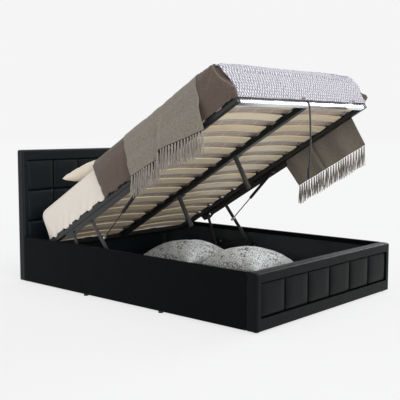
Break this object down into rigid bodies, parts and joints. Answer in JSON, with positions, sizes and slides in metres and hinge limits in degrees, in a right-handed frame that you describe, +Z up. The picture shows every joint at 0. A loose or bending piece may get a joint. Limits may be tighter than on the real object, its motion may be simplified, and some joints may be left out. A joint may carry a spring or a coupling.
{
  "type": "ottoman storage bed",
  "caption": "Upholstered double bed whose slatted platform lifts at the foot on paired arms and gas struts, opening a storage box under the mattress and bedding.",
  "frame": {"origin": "on the floor under the middle of the bed's overall footprint", "axes": "+X across the bed, +Y from the footboard to the headboard, +Z up"},
  "size_m": [1.4778, 2.115, 1.4434],
  "materials": {
    "faux_leather": "smooth black faux leather with a soft sheen",
    "board": "bare particle board",
    "floor_board": "dark faced board",
    "batten_wood": "planed softwood",
    "black_plastic": "moulded, fine matt",
    "frame_steel": "black powder coat, satin",
    "polished_steel": "polished",
    "arm_steel": "grey satin coat",
    "bright_steel": "zinc plated",
    "rod_chrome": "ground and plated",
    "cylinder_paint": "black gloss paint",
    "rubber": "moulded",
    "slat_birch": "bent birch plywood",
    "mattress_ticking": "quilted ticking",
    "sheet_cotton": "plain cotton",
    "duvet_cotton": "plain brushed cotton",
    "blanket_wool": "tweed weave",
    "throw_linen": "slubbed linen",
    "pillow_cotton": "plain cotton",
    "cushion_weave": "small chequered weave",
    "webbing": "woven webbing"
  },
  "bodies": {
    "bed_box": {"headboard_core": "board", "headboard_cover": "faux_leather", "headboard_squares": "faux_leather", "footboard_core": "board", "footboard_cover": "faux_leather", "footboard_squares": "faux_leather", "side_rail_core_right": "board", "side_rail_core_left": "board", "side_rail_cover_right": "faux_leather", "side_rail_cover_left": "faux_leather", "corner_brackets": "bright_steel", "corner_bolts": "bright_steel", "floor_panels": "floor_board", "floor_battens": "batten_wood", "floor_glides": "black_plastic", "storage_cushion_foot": "cushion_weave", "storage_cushion_head": "cushion_weave", "base_bracket_right": "frame_steel", "base_bracket_left": "frame_steel", "bracket_bolts": "bright_steel", "lower_pivot_pins": "bright_steel"},
    "front_arms": {"front_arm_right": "arm_steel", "front_arm_left": "arm_steel"},
    "rear_arms": {"rear_arm_right": "arm_steel", "rear_arm_left": "arm_steel", "rear_arm_pins": "bright_steel"},
    "strut_cylinders": {"strut_cylinder_right": "cylinder_paint", "strut_cylinder_left": "cylinder_paint"},
    "strut_rods": {"strut_rod_right": "rod_chrome", "strut_rod_left": "rod_chrome", "strut_rod_ends": "bright_steel"},
    "strap": {"lift_strap": "webbing"},
    "platform": {"platform_side_tube_right": "frame_steel", "platform_side_tube_left": "frame_steel", "tube_end_caps": "black_plastic", "platform_foot_tube": "polished_steel", "platform_head_tube": "frame_steel", "platform_centre_rail": "frame_steel", "mechanism_bar_right": "frame_steel", "mechanism_bar_left": "frame_steel", "mechanism_bar_bolts": "bright_steel", "upper_pivot_pins": "bright_steel", "slats_right": "slat_birch", "slats_left": "slat_birch", "slat_holders_right": "black_plastic", "slat_holders_left": "black_plastic", "slat_holders_centre": "black_plastic", "centre_legs": "frame_steel", "leg_feet": "rubber", "mattress_retainers": "frame_steel", "mattress": "mattress_ticking", "fitted_sheet": "sheet_cotton", "duvet": "duvet_cotton", "blanket": "blanket_wool", "throw": "throw_linen", "throw_fringe_right": "throw_linen", "throw_fringe_left": "throw_linen", "pillow_right": "pillow_cotton", "pillow_left": "pillow_cotton", "strap_anchor": "webbing"}
  },
  "joints": [
    {"name": "lift", "type": "hinge", "parent": "bed_box", "child": "front_arms", "pos_m": [0, 0.10502, 0.23619], "axis": [1, 0, 0], "range_deg": [-49.36, 0], "stiffness_Nm_per_rad": 1700, "springref_deg": 22.92},
    {"name": "platform_pivot", "type": "hinge", "parent": "front_arms", "child": "platform", "pos_m": [0, 0.32227, 0.49513], "axis": [1, 0, 0], "range_deg": [0, 79.2]},
    {"name": "rear_arm_pivot", "type": "hinge", "parent": "bed_box", "child": "rear_arms", "pos_m": [0, 0.41354, 0.16063], "axis": [1, 0, 0], "range_deg": [-50.8, 0]},
    {"name": "strut_pivot", "type": "hinge", "parent": "platform", "child": "strut_cylinders", "pos_m": [0, -0.15004, 0.76606], "axis": [1, 0, 0], "range_deg": [0, 15.25]},
    {"name": "strut_slide", "type": "slide", "parent": "strut_cylinders", "child": "strut_rods", "axis": [0, 0.7031, -0.7111], "range_m": [-0.1398, 0]},
    {"name": "strap_swing", "type": "hinge", "parent": "platform", "child": "strap", "pos_m": [0, -0.89019, 1.21439], "axis": [1, 0, 0], "range_deg": [0, 33.16]}
  ],
  "couplings": [
    {"joint": "platform_pivot", "follows": "lift", "ratio": -1.6046},
    {"joint": "rear_arm_pivot", "follows": "lift", "ratio": 1.0293},
    {"joint": "strut_pivot", "follows": "lift", "ratio": -0.30893},
    {"joint": "strut_slide", "follows": "lift", "m_per_rad": 0.16226},
    {"joint": "strap_swing", "follows": "lift", "ratio": -0.67183}
  ]
}
